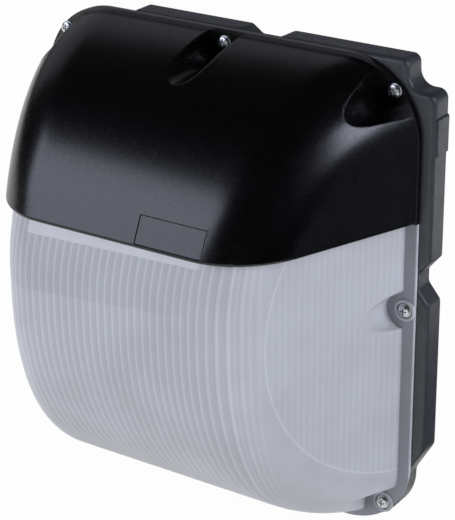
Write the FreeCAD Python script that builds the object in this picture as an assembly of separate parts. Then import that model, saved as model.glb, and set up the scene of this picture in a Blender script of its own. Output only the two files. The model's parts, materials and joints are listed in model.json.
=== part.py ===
import FreeCAD, Part
import math
import os

# Wall pack light. X runs along the wall, -Y comes out of the wall, Z is up.
# The origin is on the wall plane, at the middle of the housing.
# A place is given as x and z, and a depth as its distance from the wall.

# Housing against the wall
HALF_W = 150.0
HALF_H = 161.6
HOUSING_DEPTH = 16.8
HOUSING_WALL = 3.0
SHOULDER_R = 3.4
PAD_RISE = 1.2
PAD_Z = (102.0, 127.0)

# Flanges of the lens and the hood, which share one outline
FLANGE_HALF_W = 142.2
FLANGE_TOP_R = 52.0
FLANGE_LOW_R = 48.0
JOINT_GAP = 0.3
FLANGE_T = 2.0
LENS_BACK = HOUSING_DEPTH + JOINT_GAP
LENS_FACE = LENS_BACK + FLANGE_T
HOOD_FACE = LENS_FACE + FLANGE_T

# Side profile of the lens bowl, from its crown round the front to its foot
CROWN_Z = 156.5
CROWN_REACH = 5.8
CROWN_R = 140.1
CROWN_TURN = 65.0
BROW_LENGTH = 22.5
CHEEK_R = 87.4
CHEEK_TURN = 25.0
FRONT_LENGTH = 15.3
BELLY_R = 165.5
BELLY_TURN = 36.6
CHIN_R = 152.4
CHIN_TURN = 53.4

# Sides of the lens bowl
SIDE_HALF_W = 141.3
SIDE_TAPER = 20.7
CORNER_R = 37.9
LENS_WALL = 3.0

# Hood over the upper half of the bowl: how far its outside stands off the lens, and its skirt
HOOD_EDGE_Z = 58.6
HOOD_FRONT = 3.5
HOOD_SIDE = 7.7
HOOD_CORNER_R = 50.6
HOOD_WALL = 2.6
HOOD_INNER_R = 47.0
SKIRT_T = 1.4
LIP_R = 2.4

# Blanking plate in the front of the hood
BLANK_X = (17.3, 64.7)
BLANK_Z = (61.4, 77.2)
BLANK_GAP = 0.3

# Cover screws, M4 pan heads, each in a scooped pocket: x, z and the pocket's radius in the lens
TOP_SCREW = (1.4, 152.8, 15.9)
TOP_CORNER = (125.0, 142.8, 17.8)
MID_SCREW = (135.4, -1.1, 13.0)
LOW_CORNER = (123.8, -143.3, 13.5)
M4_R = 2.0
M4_HEAD_R = 3.9
M4_HEAD_H = 2.6
M4_HOLE_R = 2.3
M4_TAPPED_R = 2.05
WASHER_R = 4.6
WASHER_T = 0.8
COVER_SHANK = 10.0
BOSS_R = 6.5

# Small screws of the gear, M3
M3_R = 1.5
M3_HEAD_R = 3.0
M3_HEAD_H = 1.9
M3_HOLE_R = 1.7
M3_TAPPED_R = 1.55

# Cord seal between the housing and the lens
SEAL_DEPTH = 3.0
SEAL_OUT = 0.4
SEAL_GAP = 0.1
SEAL_RIM = 2.2
SEAL_RIM_DEPTH = 4.2
RIM_OUT = 4.6
RIM_IN = 7.6

# Fixings and cable entry in the back
FIX_X = 96.0
FIX_Z = 110.0
FIX_HOLE_R = 3.0
FIX_BOSS_R = 9.0
FIX_BOSS_H = 5.0
FIX_SEAL_R = 7.5
FIX_SEAL_T = 1.5
ENTRY_X = -67.0
ENTRY_Z = 62.0
ENTRY_R = 10.0
CABLE_R = 5.0
GROMMET_LIP = 2.5

# Gear tray and the posts that it stands on
POST_X = 76.0
POST_Z = 118.0
POST_R = 5.0
TRAY_HALF_W = 104.0
TRAY_HALF_H = 127.0
TRAY_CUT = 26.0
TRAY_BACK = 12.0
TRAY_LIP = 6.0
SHEET_T = 1.2
TRAY_FACE = TRAY_BACK + SHEET_T

# Reflector: back plate, shelf over the lamps and sloped lower edge
REFLECTOR_HALF_W = 98.0
REFLECTOR_TOP = 48.0
REFLECTOR_FOLD = -106.0
REFLECTOR_FOOT = (33.2, -122.0)
SHELF_EDGE = (118.0, 54.0)
SHELF_END_HALF_W = 84.0
SHELF_STRAIGHT = 60.0
REFLECTOR_FACE = TRAY_FACE + SHEET_T
REFLECTOR_FIXINGS = [(-86.0, 30.0), (86.0, 38.0), (0.0, -96.0)]

# Control gear
BALLAST_X = (-22.0, 81.0)
BALLAST_Z = (60.0, 112.0)
BALLAST_H = 31.0
BALLAST_EAR = 9.0
BALLAST_PLATE_T = 1.5
STEP_LENGTH = 14.0
STEP_H = 14.0
LEAD_WAYS = 8
LEAD_PITCH = 4.0

# Mains terminal block, cable clamp and earth terminal
BLOCK_X = (-86.0, -50.0)
BLOCK_Z = (94.0, 112.0)
BLOCK_H = 16.0
BLOCK_WAYS = 3
BLOCK_SCREW_INSET = 4.5
CLAMP_Z = 79.0
CLAMP_WIDTH = 9.0
CLAMP_HALF_LENGTH = 15.0
CLAMP_SCREW_X = 11.0
CLAMP_T = 3.0
EARTH_PLACE = (-92.0, 60.0)

# Lamps: two plug-in compact fluorescent lamps, lying along X
LAMP_Y = 72.0
LAMP_ZS = (12.0, -46.0)
LIMB_R = 6.0
LIMB_PITCH = 14.6
LIMB_END = -82.0
BRIDGE_R = 4.0
BRIDGE_INSET = 13.0
BASE_FACE = 52.0
BASE_SIZE = 30.0
BASE_LENGTH = 22.0
PLUG_SIZE = 20.0
PLUG_LENGTH = 13.0
PLUG_GAP = 0.35

# Lampholders, their bracket and the lamp clips
HOLDER_SIZE = 36.0
HOLDER_BACK = 98.0
BRACKET_T = 1.5
BRACKET_FOOT = 20.0
CLIP_X = -58.0
CLIP_W = 9.0
CLIP_T = 2.0
CLIP_GAP = 0.45

# Space that is larger than the whole light, and how far the bowl's form runs on behind the wall plane
FAR = 220.0
BEHIND = 10.0

V = FreeCAD.Vector
OUT = V(0, -1, 0)
ALONG = V(1, 0, 0)
UP = V(0, 0, 1)


def rod(x, z, radius, back, front):
    """A round bar square to the wall, from depth back to depth front."""
    return Part.makeCylinder(radius, front - back, V(x, -back, z), OUT)


def ring(x, z, outer, inner, back, front):
    return rod(x, z, outer, back, front).cut(rod(x, z, inner, back - 1, front + 1))


def bar(x0, x1, back, front, z0, z1):
    """A rectangular bar between two depths."""
    return Part.makeBox(x1 - x0, front - back, z1 - z0, V(x0, -front, z0))


def slab(back, front, z0=-FAR, z1=FAR):
    """A wide slice of space between two depths."""
    return bar(-FAR, FAR, back, front, z0, z1)


def edges_along(shape, axis, pick=lambda middle: True):
    """The straight edges that run along one axis and whose middle passes the test."""
    found = []
    for edge in shape.Edges:
        if len(edge.Vertexes) < 2:
            continue
        run = edge.Vertexes[1].Point - edge.Vertexes[0].Point
        if run.Length > 0.1 and abs(run.normalize().dot(axis)) > 0.999:
            if pick(edge.CenterOfMass):
                found.append(edge)
    return found


def plate(points, thickness, way):
    """A flat polygon through points, given a thickness."""
    return Part.Face(Part.makePolygon(points + points[:1])).extrude(way * thickness)


def mirrored(place):
    return (-place[0],) + place[1:]


def cover_places():
    """The seven screw places of the cover, each with its pocket's radius."""
    places = [TOP_SCREW]
    for place in (TOP_CORNER, MID_SCREW, LOW_CORNER):
        places += [place, mirrored(place)]
    return places


def drilled(body, places, radius, back, front):
    """The body with one hole at each place."""
    for place in places:
        body = body.cut(rod(place[0], place[1], radius, back, front))
    return body


def four(x, z):
    return [(x, z), (-x, z), (-x, -z), (x, -z)]


def rounded_outline(corners):
    """A closed wire through corners (x, z, radius), each rounded by its radius."""
    arcs = []
    count = len(corners)
    for i, (x, z, radius) in enumerate(corners):
        here = V(x, 0, z)
        before = V(corners[i - 1][0], 0, corners[i - 1][1]) - here
        after = V(corners[(i + 1) % count][0], 0, corners[(i + 1) % count][1]) - here
        before.normalize()
        after.normalize()
        half = before.getAngle(after) / 2
        reach = radius / math.tan(half)
        inwards = (before + after).normalize()
        middle = here + inwards * (radius / math.sin(half) - radius)
        arcs.append((here + before * reach, middle, here + after * reach))
    edges = []
    for i, (entry, middle, leave) in enumerate(arcs):
        edges.append(Part.Arc(entry, middle, leave).toShape())
        edges.append(Part.LineSegment(leave, arcs[(i + 1) % count][0]).toShape())
    return Part.Wire(edges)


def bowl_profile(grow):
    """The bowl's side profile in the YZ plane, moved outwards by grow all the way round."""
    start = V(0, BEHIND, CROWN_Z + grow)
    runs = [(CROWN_REACH + BEHIND, 0, 0), (BROW_LENGTH, CROWN_R, CROWN_TURN)]
    runs += [(FRONT_LENGTH, CHEEK_R, CHEEK_TURN), (0, BELLY_R, BELLY_TURN), (0, CHIN_R, CHIN_TURN)]
    edges = []
    place = start
    heading = 180.0
    for length, radius, turn in runs:
        if turn:
            angle = math.radians(heading)
            way = V(0, math.cos(angle), math.sin(angle))
            inward = V(0, -way.z, way.y)
            swing = radius + grow
            centre = place + inward * swing
            ends = []
            for part in (0.5, 1.0):
                a = math.radians(turn * part)
                ends.append(centre - inward * swing * math.cos(a) + way * swing * math.sin(a))
            edges.append(Part.Arc(place, ends[0], ends[1]).toShape())
            place = ends[1]
            heading += turn
        if length:
            angle = math.radians(heading)
            end = place + V(0, math.cos(angle), math.sin(angle)) * length
            edges.append(Part.LineSegment(place, end).toShape())
            place = end
    foot = V(0, BEHIND, place.z)
    edges.append(Part.LineSegment(place, foot).toShape())
    edges.append(Part.LineSegment(foot, start).toShape())
    return Part.Face(Part.Wire(edges))


def pocket(x, z, radius):
    """The space of one screw pocket: round towards the middle and open towards the edge."""
    space = rod(x, z, radius, -BEHIND, FAR)
    if abs(x) > FIX_X:
        outer = math.copysign(FAR, x)
        side = bar(min(x, outer), max(x, outer), -BEHIND, FAR, z - radius, z + radius)
        space = space.fuse(side)
    if abs(z) > FIX_Z:
        outer = math.copysign(FAR, z)
        end = bar(x - radius, x + radius, -BEHIND, FAR, min(z, outer), max(z, outer))
        space = space.fuse(end)
        if abs(x) > FIX_X:
            far_x = math.copysign(FAR, x)
            corner = bar(min(x, far_x), max(x, far_x), -BEHIND, FAR, min(z, outer), max(z, outer))
            space = space.fuse(corner)
    return space


def bowl(front_grow, side_grow, corner_r):
    """The solid bowl, grown at its front and its sides, with rounded corners and its pockets."""
    block = bowl_profile(front_grow).extrude(ALONG * (2 * FAR))
    block.translate(ALONG * -FAR)
    taper = math.radians(SIDE_TAPER)
    base = BEHIND - 1.0
    back = SIDE_HALF_W + side_grow / math.cos(taper) + math.tan(taper) * base
    front = back - math.tan(taper) * (FAR + base)
    outline = [V(-back, base, -FAR), V(back, base, -FAR), V(front, -FAR, -FAR), V(-front, -FAR, -FAR)]
    body = block.common(plate(outline, 2 * FAR, UP))
    rims = []
    for face in body.Faces:
        if face.normalAt(0, 0).x > 0.9:
            rims += [edge for edge in face.Edges if edge.CenterOfMass.y < base - 0.01]
    body = body.makeFillet(corner_r, rims)
    body = body.common(body.mirror(V(0, 0, 0), ALONG))
    for x, z, radius in cover_places():
        body = body.cut(pocket(x, z, radius - front_grow))
    return body


def lens_bowl(grow):
    """The lens bowl, moved outwards all over by grow."""
    return bowl(grow, grow, CORNER_R + grow)


def flange(back, front, inset=0.0):
    """A plate with the flange's outline, made smaller all round by inset."""
    half_w = FLANGE_HALF_W - inset
    half_h = HALF_H - inset
    block = bar(-half_w, half_w, back, front, -half_h, half_h)
    block = block.makeFillet(FLANGE_TOP_R - inset, edges_along(block, OUT, lambda middle: middle.z > 0))
    return block.makeFillet(FLANGE_LOW_R - inset, edges_along(block, OUT, lambda middle: middle.z < -HALF_H / 2))


def housing_outline():
    """The housing's edge: a scooped right corner, a cut left corner, stepped lower ends and notches."""
    top_notch = [(9.0, HALF_H, 4), (17.0, 156.0, 4), (30.0, 156.0, 5), (41.0, HALF_H, 6)]
    right = [(130.5, HALF_H, 5), (131.5, 142.4, 10), (HALF_W, 142.4, 6)]
    right_side = [(HALF_W, 33.0, 4), (141.4, 22.7, 3), (141.4, 13.7, 5), (HALF_W, 3.2, 5)]
    right_foot = [(HALF_W, -100.5, 9), (137.5, -122.0, 10), (137.5, -160.0, 34)]
    left_foot = [mirrored(corner) for corner in reversed(right_foot)]
    left_side = [mirrored(corner) for corner in reversed(right_side)]
    left = [(-HALF_W, 104.0, 8), (-138.0, 112.0, 8), (-138.0, 155.0, 36)]
    left += [(-84.0, 155.0, 5), (-72.0, HALF_H, 4)]
    return rounded_outline(top_notch + right + right_side + right_foot + left_foot + left_side + left)


def side_pad():
    """A low pad on the housing's right side, below the scooped corner."""
    back_x = HALF_W - 2
    face_x = HALF_W + PAD_RISE
    pad = bar(back_x, face_x, 0, HOUSING_DEPTH - SHOULDER_R, PAD_Z[0], PAD_Z[1])
    ends = edges_along(pad, OUT, lambda middle: middle.x > HALF_W)
    return pad.makeChamfer(PAD_RISE * 0.9, ends)


def seal_space(gap):
    """The ring under the lens wall that the seal fills, made wider by gap on each side."""
    band = lens_bowl(SEAL_OUT + gap).cut(lens_bowl(-LENS_WALL - SEAL_OUT - gap))
    return band.common(slab(HOUSING_DEPTH - SEAL_DEPTH, HOUSING_DEPTH))


def back_housing():
    """The moulded housing: open gear space, seal groove, hollow rim, bosses, posts and entries."""
    face = Part.Face(housing_outline())
    body = face.extrude(OUT * HOUSING_DEPTH)
    front = [edge for edge in body.Edges if abs(edge.BoundBox.YMax + HOUSING_DEPTH) < 0.01]
    body = body.makeFillet(SHOULDER_R, front)
    body = body.fuse(side_pad())
    body = body.fuse(lens_bowl(SEAL_RIM).common(slab(HOUSING_DEPTH - SEAL_RIM_DEPTH, HOUSING_DEPTH)))
    inner = face.makeOffset2D(-HOUSING_WALL).extrude(OUT * (HOUSING_DEPTH - SEAL_DEPTH - 1.5))
    hollow = inner.cut(lens_bowl(-RIM_OUT).common(slab(-1, HOUSING_DEPTH + 1)))
    hollow = drilled(hollow, cover_places(), BOSS_R, -1, HOUSING_DEPTH)
    body = body.cut(hollow)
    body = body.cut(lens_bowl(-RIM_IN).common(slab(HOUSING_WALL, HOUSING_DEPTH + 1)))
    body = body.cut(seal_space(SEAL_GAP))
    for x, z in four(FIX_X, FIX_Z):
        body = body.fuse(rod(x, z, FIX_BOSS_R, 0, FIX_BOSS_H))
    for x, z in four(POST_X, POST_Z):
        body = body.fuse(rod(x, z, POST_R, 0, TRAY_BACK))
    body = drilled(body, four(FIX_X, FIX_Z), FIX_HOLE_R, -1, HOUSING_DEPTH)
    body = drilled(body, four(POST_X, POST_Z), M4_TAPPED_R, HOUSING_WALL, HOUSING_DEPTH)
    body = drilled(body, [(ENTRY_X, ENTRY_Z)], ENTRY_R, -1, HOUSING_DEPTH)
    return drilled(body, cover_places(), M4_TAPPED_R, HOUSING_WALL + 2, HOUSING_DEPTH + 1)


def lens():
    """The lens: one moulded bowl on its flange."""
    under_hood = slab(LENS_BACK, LENS_FACE, HOOD_EDGE_Z - JOINT_GAP)
    rim = flange(LENS_BACK, LENS_FACE).cut(under_hood)
    rim = rim.fuse(flange(LENS_BACK, LENS_FACE, SKIRT_T + JOINT_GAP).common(under_hood))
    body = rim.fuse(lens_bowl(0.0).common(slab(LENS_BACK, FAR)))
    body = body.cut(lens_bowl(-LENS_WALL))
    return drilled(body, cover_places(), M4_HOLE_R, 0, HOOD_FACE + 1)


def hood_shell():
    """The hood with its skirted flange and its rolled lower lip, before the window is cut."""
    shell = bowl(HOOD_FRONT, HOOD_SIDE, HOOD_CORNER_R).common(slab(LENS_FACE, FAR, HOOD_EDGE_Z))
    lip = []
    for edge in shell.Edges:
        box = edge.BoundBox
        if box.ZMax < HOOD_EDGE_Z + 0.05 and box.YMin < -LENS_FACE - 0.1:
            lip.append(edge)
    shell = shell.makeFillet(LIP_R, lip)
    cap = flange(LENS_BACK, HOOD_FACE).cut(flange(0.0, LENS_FACE, SKIRT_T))
    shell = shell.fuse(cap.common(slab(0, FAR, HOOD_EDGE_Z)))
    shell = shell.cut(bowl(HOOD_FRONT - HOOD_WALL, HOOD_SIDE - HOOD_WALL, HOOD_INNER_R))
    upper = [place for place in cover_places() if place[1] > HOOD_EDGE_Z]
    return drilled(shell, upper, M4_HOLE_R, 0, HOOD_FACE + 1)


def window(gap):
    z0 = BLANK_Z[0] - gap
    z1 = BLANK_Z[1] + gap
    return bar(BLANK_X[0] - gap, BLANK_X[1] + gap, HOOD_FACE, FAR, z0, z1)


def hood():
    return hood_shell().cut(window(BLANK_GAP))


def blanking_plate():
    return hood_shell().common(window(0.0))


def pan_screw(place, seat, shank):
    """A pan-head screw with a cross recess; seat is the depth of its head's underside."""
    x, z = place[0], place[1]
    dome_r = 9.0
    recess = 2.3
    slot = 0.5
    top = seat + M4_HEAD_H
    dome = Part.makeSphere(dome_r, V(x, dome_r - top, z))
    head = rod(x, z, M4_HEAD_R, seat, top).common(dome)
    head = head.cut(bar(x - recess, x + recess, seat + 1, top + 1, z - slot, z + slot))
    head = head.cut(bar(x - slot, x + slot, seat + 1, top + 1, z - recess, z + recess))
    return head.fuse(rod(x, z, M4_R, seat - shank, seat + 0.5))


def small_screw(place, seat, shank):
    """A plain cheese-head screw with a slot."""
    x, z = place[0], place[1]
    head = rod(x, z, M3_HEAD_R, seat, seat + M3_HEAD_H)
    head = head.cut(bar(x - M3_HEAD_R, x + M3_HEAD_R, seat + 1.1, seat + 3, z - 0.4, z + 0.4))
    return head.fuse(rod(x, z, M3_R, seat - shank, seat + 0.5))


def cover_seat(place):
    """The depth of the flange face that the washer at this place sits on."""
    return HOOD_FACE if place[1] > HOOD_EDGE_Z else LENS_FACE


def cover_screws():
    screws = []
    for place in cover_places():
        seat = cover_seat(place) + WASHER_T
        screws.append(pan_screw(place, seat, seat - HOUSING_DEPTH + COVER_SHANK))
    return Part.makeCompound(screws)


def screw_washers():
    washers = []
    for place in cover_places():
        seat = cover_seat(place)
        washers.append(ring(place[0], place[1], WASHER_R, M4_HOLE_R, seat, seat + WASHER_T))
    return Part.makeCompound(washers)


def wall_fixing_seals():
    top = FIX_BOSS_H + FIX_SEAL_T
    places = four(FIX_X, FIX_Z)
    return Part.makeCompound([ring(x, z, FIX_SEAL_R, FIX_HOLE_R, FIX_BOSS_H, top) for x, z in places])


def cable_grommet():
    """A rubber grommet turned in one piece, with its lip on the housing floor and a tapered nose."""
    lip = ENTRY_R + GROMMET_LIP
    outline = [(CABLE_R, 0.0), (ENTRY_R, 0.0), (ENTRY_R, HOUSING_WALL), (lip, HOUSING_WALL)]
    outline += [(lip, HOUSING_WALL + 2.0), (CABLE_R + 1.2, 8.0), (CABLE_R, 8.0)]
    points = [V(radius, -depth, 0) for radius, depth in outline]
    body = Part.Face(Part.makePolygon(points + points[:1])).revolve(V(0, 0, 0), V(0, 1, 0), 360)
    body.translate(V(ENTRY_X, 0, ENTRY_Z))
    return body


def gear_tray():
    """A folded steel tray with turned-up long edges, cut corners and its fixing holes."""
    corners = []
    for sx, sz in ((1, 1), (1, -1), (-1, -1), (-1, 1)):
        pair = [(sx * (TRAY_HALF_W - TRAY_CUT), sz * TRAY_HALF_H, 4.0)]
        pair.append((sx * TRAY_HALF_W, sz * (TRAY_HALF_H - TRAY_CUT), 4.0))
        corners += pair if sx * sz > 0 else pair[::-1]
    body = Part.Face(rounded_outline(corners)).extrude(OUT * SHEET_T)
    body.translate(OUT * TRAY_BACK)
    lip_half = TRAY_HALF_H - TRAY_CUT - 6.0
    for x in (-TRAY_HALF_W, TRAY_HALF_W - SHEET_T):
        body = body.fuse(bar(x, x + SHEET_T, TRAY_BACK, TRAY_BACK + TRAY_LIP, -lip_half, lip_half))
    body = drilled(body, four(POST_X, POST_Z), M4_HOLE_R, 0, HOUSING_DEPTH)
    body = drilled(body, [(ENTRY_X, ENTRY_Z)], ENTRY_R + 4, 0, HOUSING_DEPTH)
    body = drilled(body, four(FIX_X, FIX_Z), FIX_SEAL_R + 2, 0, HOUSING_DEPTH + TRAY_LIP)
    body = drilled(body, ballast_fixings(), M4_TAPPED_R, 0, HOUSING_DEPTH)
    small = REFLECTOR_FIXINGS + bracket_fixings() + clamp_fixings()
    return drilled(body, small, M3_TAPPED_R, 0, HOUSING_DEPTH).removeSplitter()


def gear_tray_screws():
    return Part.makeCompound([pan_screw(place, TRAY_FACE, 7.0) for place in four(POST_X, POST_Z)])


def reflector_sheet(a, b, lift):
    """One leaf of the reflector, between two (depth, z) points and lifted by its thickness."""
    start = V(-REFLECTOR_HALF_W, -a[0], a[1])
    end = V(-REFLECTOR_HALF_W, -b[0], b[1])
    return plate([start, end, end + lift, start + lift], 2 * REFLECTOR_HALF_W, ALONG)


def reflector():
    """A white sheet: back plate, a shelf over the lamps and a sloped lower edge."""
    top = (TRAY_FACE, REFLECTOR_TOP)
    fold = (TRAY_FACE, REFLECTOR_FOLD)
    body = reflector_sheet(top, fold, OUT * SHEET_T)
    body = body.fuse(reflector_sheet(fold, REFLECTOR_FOOT, V(0, -0.75, 0.66) * SHEET_T))
    body = body.fuse(reflector_sheet(top, SHELF_EDGE, UP * -SHEET_T))
    for side in (-1, 1):
        wide = side * (REFLECTOR_HALF_W + 1)
        narrow = side * SHELF_END_HALF_W
        trim = [V(wide, -SHELF_STRAIGHT, 0), V(wide, -FAR, 0), V(narrow, -FAR, 0)]
        trim.append(V(narrow, -SHELF_EDGE[0] - SHEET_T, 0))
        body = body.cut(plate(trim, 2 * REFLECTOR_TOP, UP))
    body = drilled(body, four(POST_X, POST_Z), M4_HEAD_R + 1, 0, REFLECTOR_FOOT[0])
    body = drilled(body, REFLECTOR_FIXINGS, M3_HOLE_R, 0, HOUSING_DEPTH)
    return drilled(body, bracket_fixings(), M3_TAPPED_R, 0, HOUSING_DEPTH).removeSplitter()


def reflector_screws():
    shank = REFLECTOR_FACE - TRAY_BACK
    return Part.makeCompound([small_screw(place, REFLECTOR_FACE, shank) for place in REFLECTOR_FIXINGS])


def ballast_fixings():
    z = sum(BALLAST_Z) / 2
    half_ear = BALLAST_EAR / 2
    return [(BALLAST_X[0] + half_ear, z), (BALLAST_X[1] - half_ear, z)]


def ballast_step(back, front, inset):
    """The space of the step at the gear's lead end, narrowed by inset."""
    x0 = BALLAST_X[0] + BALLAST_EAR
    z0, z1 = BALLAST_Z
    shoulder = 8.0 + inset
    return bar(x0 - 1 + 2 * inset, x0 + STEP_LENGTH - inset, back, front, z0 + shoulder, z1 - shoulder)


def ballast():
    """The control gear: a folded case with rounded edges on a base plate with two ears."""
    x0, x1 = BALLAST_X
    z0, z1 = BALLAST_Z
    top = TRAY_FACE + BALLAST_H
    case = bar(x0 + BALLAST_EAR, x1 - BALLAST_EAR, TRAY_FACE, top, z0, z1)
    rounded = edges_along(case, OUT) + edges_along(case, ALONG, lambda middle: middle.y < 1 - top)
    case = case.makeFillet(2.0, rounded)
    ears = bar(x0, x1, TRAY_FACE, TRAY_FACE + BALLAST_PLATE_T, z0 + 10, z1 - 10)
    ears = ears.makeFillet(5.0, edges_along(ears, OUT))
    body = drilled(case.fuse(ears), ballast_fixings(), M4_HOLE_R, 0, TRAY_FACE + 5)
    return body.cut(ballast_step(TRAY_FACE + STEP_H, top + 1, 0.0))


def ballast_terminals():
    """The push-in terminals on the step at the lead end of the gear, one way for each lead."""
    floor = TRAY_FACE + STEP_H
    body = ballast_step(floor, floor + 11.0, 0.5)
    middle = sum(BALLAST_Z) / 2
    for i in range(LEAD_WAYS):
        z = middle + LEAD_PITCH * (i - (LEAD_WAYS - 1) / 2)
        body = body.cut(Part.makeCylinder(1.2, 9.0, V(BALLAST_X[0] + BALLAST_EAR - 1, -floor - 5, z), ALONG))
    return body


def ballast_screws():
    seat = TRAY_FACE + BALLAST_PLATE_T
    return Part.makeCompound([pan_screw(place, seat, seat - TRAY_BACK) for place in ballast_fixings()])


def block_pitch():
    return (BLOCK_X[1] - BLOCK_X[0]) / BLOCK_WAYS


def block_screw_places():
    places = []
    for i in range(BLOCK_WAYS):
        x = BLOCK_X[0] + block_pitch() * (i + 0.5)
        places += [(x, BLOCK_Z[0] + BLOCK_SCREW_INSET), (x, BLOCK_Z[1] - BLOCK_SCREW_INSET)]
    return places


def terminal_block():
    """A mains terminal block with barrier ribs, wire ways and screw wells."""
    x0, x1 = BLOCK_X
    z0, z1 = BLOCK_Z
    body = bar(x0, x1, TRAY_FACE, TRAY_FACE + BLOCK_H - 4, z0, z1)
    for i in range(BLOCK_WAYS + 1):
        x = min(max(x0 + block_pitch() * i, x0 + 1), x1 - 1)
        body = body.fuse(bar(x - 1, x + 1, TRAY_FACE, TRAY_FACE + BLOCK_H, z0, z1))
    for i in range(BLOCK_WAYS):
        way = V(x0 + block_pitch() * (i + 0.5), -TRAY_FACE - 6, z0 - 1)
        body = body.cut(Part.makeCylinder(2.2, z1 - z0 + 2, way, UP))
    return drilled(body, block_screw_places(), 2.6, TRAY_FACE + 6, TRAY_FACE + BLOCK_H).removeSplitter()


def terminal_screws():
    """Brass clamp screws in the block, two for each way, with a slot."""
    screws = []
    for x, z in block_screw_places():
        screw = rod(x, z, 2.5, TRAY_FACE + 6.5, TRAY_FACE + BLOCK_H - 5)
        screws.append(screw.cut(bar(x - 3, x + 3, TRAY_FACE + 10, TRAY_FACE + BLOCK_H, z - 0.4, z + 0.4)))
    return Part.makeCompound(screws)


def clamp_fixings():
    z = CLAMP_Z + CLAMP_WIDTH / 2
    return [(ENTRY_X - CLAMP_SCREW_X, z), (ENTRY_X + CLAMP_SCREW_X, z)]


def cable_clamp():
    """A saddle that holds the supply cable on the tray."""
    x0 = ENTRY_X - CLAMP_HALF_LENGTH
    x1 = ENTRY_X + CLAMP_HALF_LENGTH
    body = bar(x0, x1, TRAY_FACE, TRAY_FACE + CLAMP_T, CLAMP_Z, CLAMP_Z + CLAMP_WIDTH)
    axis = V(ENTRY_X, -TRAY_FACE - CLAMP_T, CLAMP_Z)
    arch = Part.makeCylinder(CABLE_R + 2.5, CLAMP_WIDTH, axis, UP)
    bore = Part.makeCylinder(CABLE_R, CLAMP_WIDTH, axis, UP)
    body = body.fuse(arch.common(slab(TRAY_FACE, FAR))).cut(bore)
    return drilled(body, clamp_fixings(), M3_HOLE_R, 0, TRAY_FACE + CLAMP_T + 1).removeSplitter()


def cable_clamp_screws():
    seat = TRAY_FACE + CLAMP_T
    return Part.makeCompound([small_screw(place, seat, seat - TRAY_BACK) for place in clamp_fixings()])


def earth_terminal():
    """A brass earth stud with a square washer and a hexagon nut."""
    x, z = EARTH_PLACE
    washer_t = 1.2
    washer = bar(x - 5, x + 5, TRAY_FACE, TRAY_FACE + washer_t, z - 5, z + 5)
    corners = []
    for step in range(6):
        angle = math.radians(60 * step)
        corners.append(V(x + 4 * math.cos(angle), -TRAY_FACE - washer_t, z + 4 * math.sin(angle)))
    return washer.fuse([plate(corners, 3.2, OUT), rod(x, z, M4_R, TRAY_FACE, TRAY_FACE + 7.5)])


def bracket_fixings():
    x = HOLDER_BACK - BRACKET_FOOT + 8
    return [(x, LAMP_ZS[0] - 8), (x, LAMP_ZS[1] + 4)]


def lampholder_bracket():
    """A folded steel angle that stands both lampholders off the reflector."""
    z0 = LAMP_ZS[1] - HOLDER_SIZE / 2 - 4
    z1 = LAMP_ZS[0] + HOLDER_SIZE / 2 + 2
    seat = REFLECTOR_FACE + BRACKET_T
    foot = bar(HOLDER_BACK - BRACKET_FOOT, HOLDER_BACK, REFLECTOR_FACE, seat, z0, z1)
    front = LAMP_Y + HOLDER_SIZE / 2 - 4
    wall = bar(HOLDER_BACK, HOLDER_BACK + BRACKET_T, REFLECTOR_FACE, front, z0, z1)
    wall = wall.makeFillet(8.0, edges_along(wall, ALONG, lambda middle: middle.y < -LAMP_Y))
    return drilled(foot.fuse(wall), bracket_fixings(), M3_HOLE_R, 0, seat + 1).removeSplitter()


def bracket_screws():
    seat = REFLECTOR_FACE + BRACKET_T
    return Part.makeCompound([small_screw(place, seat, seat - TRAY_BACK) for place in bracket_fixings()])


def square_bar(x0, x1, size, z):
    """A square bar along X, centred on a lamp's axis."""
    return bar(x0, x1, LAMP_Y - size / 2, LAMP_Y + size / 2, z - size / 2, z + size / 2)


def lampholder(z):
    """A moulded lampholder with the square socket that takes the lamp's plug."""
    mouth = BASE_FACE + BASE_LENGTH + PLUG_GAP
    body = square_bar(mouth, HOLDER_BACK, HOLDER_SIZE, z)
    body = body.makeFillet(3.0, edges_along(body, ALONG))
    return body.cut(square_bar(mouth - 1, mouth + PLUG_LENGTH + 0.6, PLUG_SIZE + 2 * PLUG_GAP, z))


def lamp_tubes(z):
    """Four glass limbs with round ends, joined in pairs by a bridge at the far end."""
    half = LIMB_PITCH / 2
    length = BASE_FACE - LIMB_END - LIMB_R
    pieces = []
    for depth in (LAMP_Y - half, LAMP_Y + half):
        for limb_z in (z - half, z + half):
            pieces.append(Part.makeCylinder(LIMB_R, length, V(BASE_FACE, -depth, limb_z), -ALONG))
            pieces.append(Part.makeSphere(LIMB_R, V(LIMB_END + LIMB_R, -depth, limb_z)))
        bridge = V(LIMB_END + BRIDGE_INSET, -depth, z - half)
        pieces.append(Part.makeCylinder(BRIDGE_R, LIMB_PITCH, bridge, UP))
    link = V(BASE_FACE - BRIDGE_INSET, -LAMP_Y - half, z - half)
    pieces.append(Part.makeCylinder(BRIDGE_R, LIMB_PITCH, link, -OUT))
    return pieces[0].fuse(pieces[1:])


def lamp_base(z):
    """The lamp's plastic base with its plug."""
    front = BASE_FACE + BASE_LENGTH
    body = square_bar(BASE_FACE, front, BASE_SIZE, z)
    body = body.makeFillet(4.0, edges_along(body, ALONG))
    plug = square_bar(front - 1, front + PLUG_LENGTH, PLUG_SIZE, z)
    return body.fuse(plug.makeFillet(2.0, edges_along(plug, ALONG)))


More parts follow.
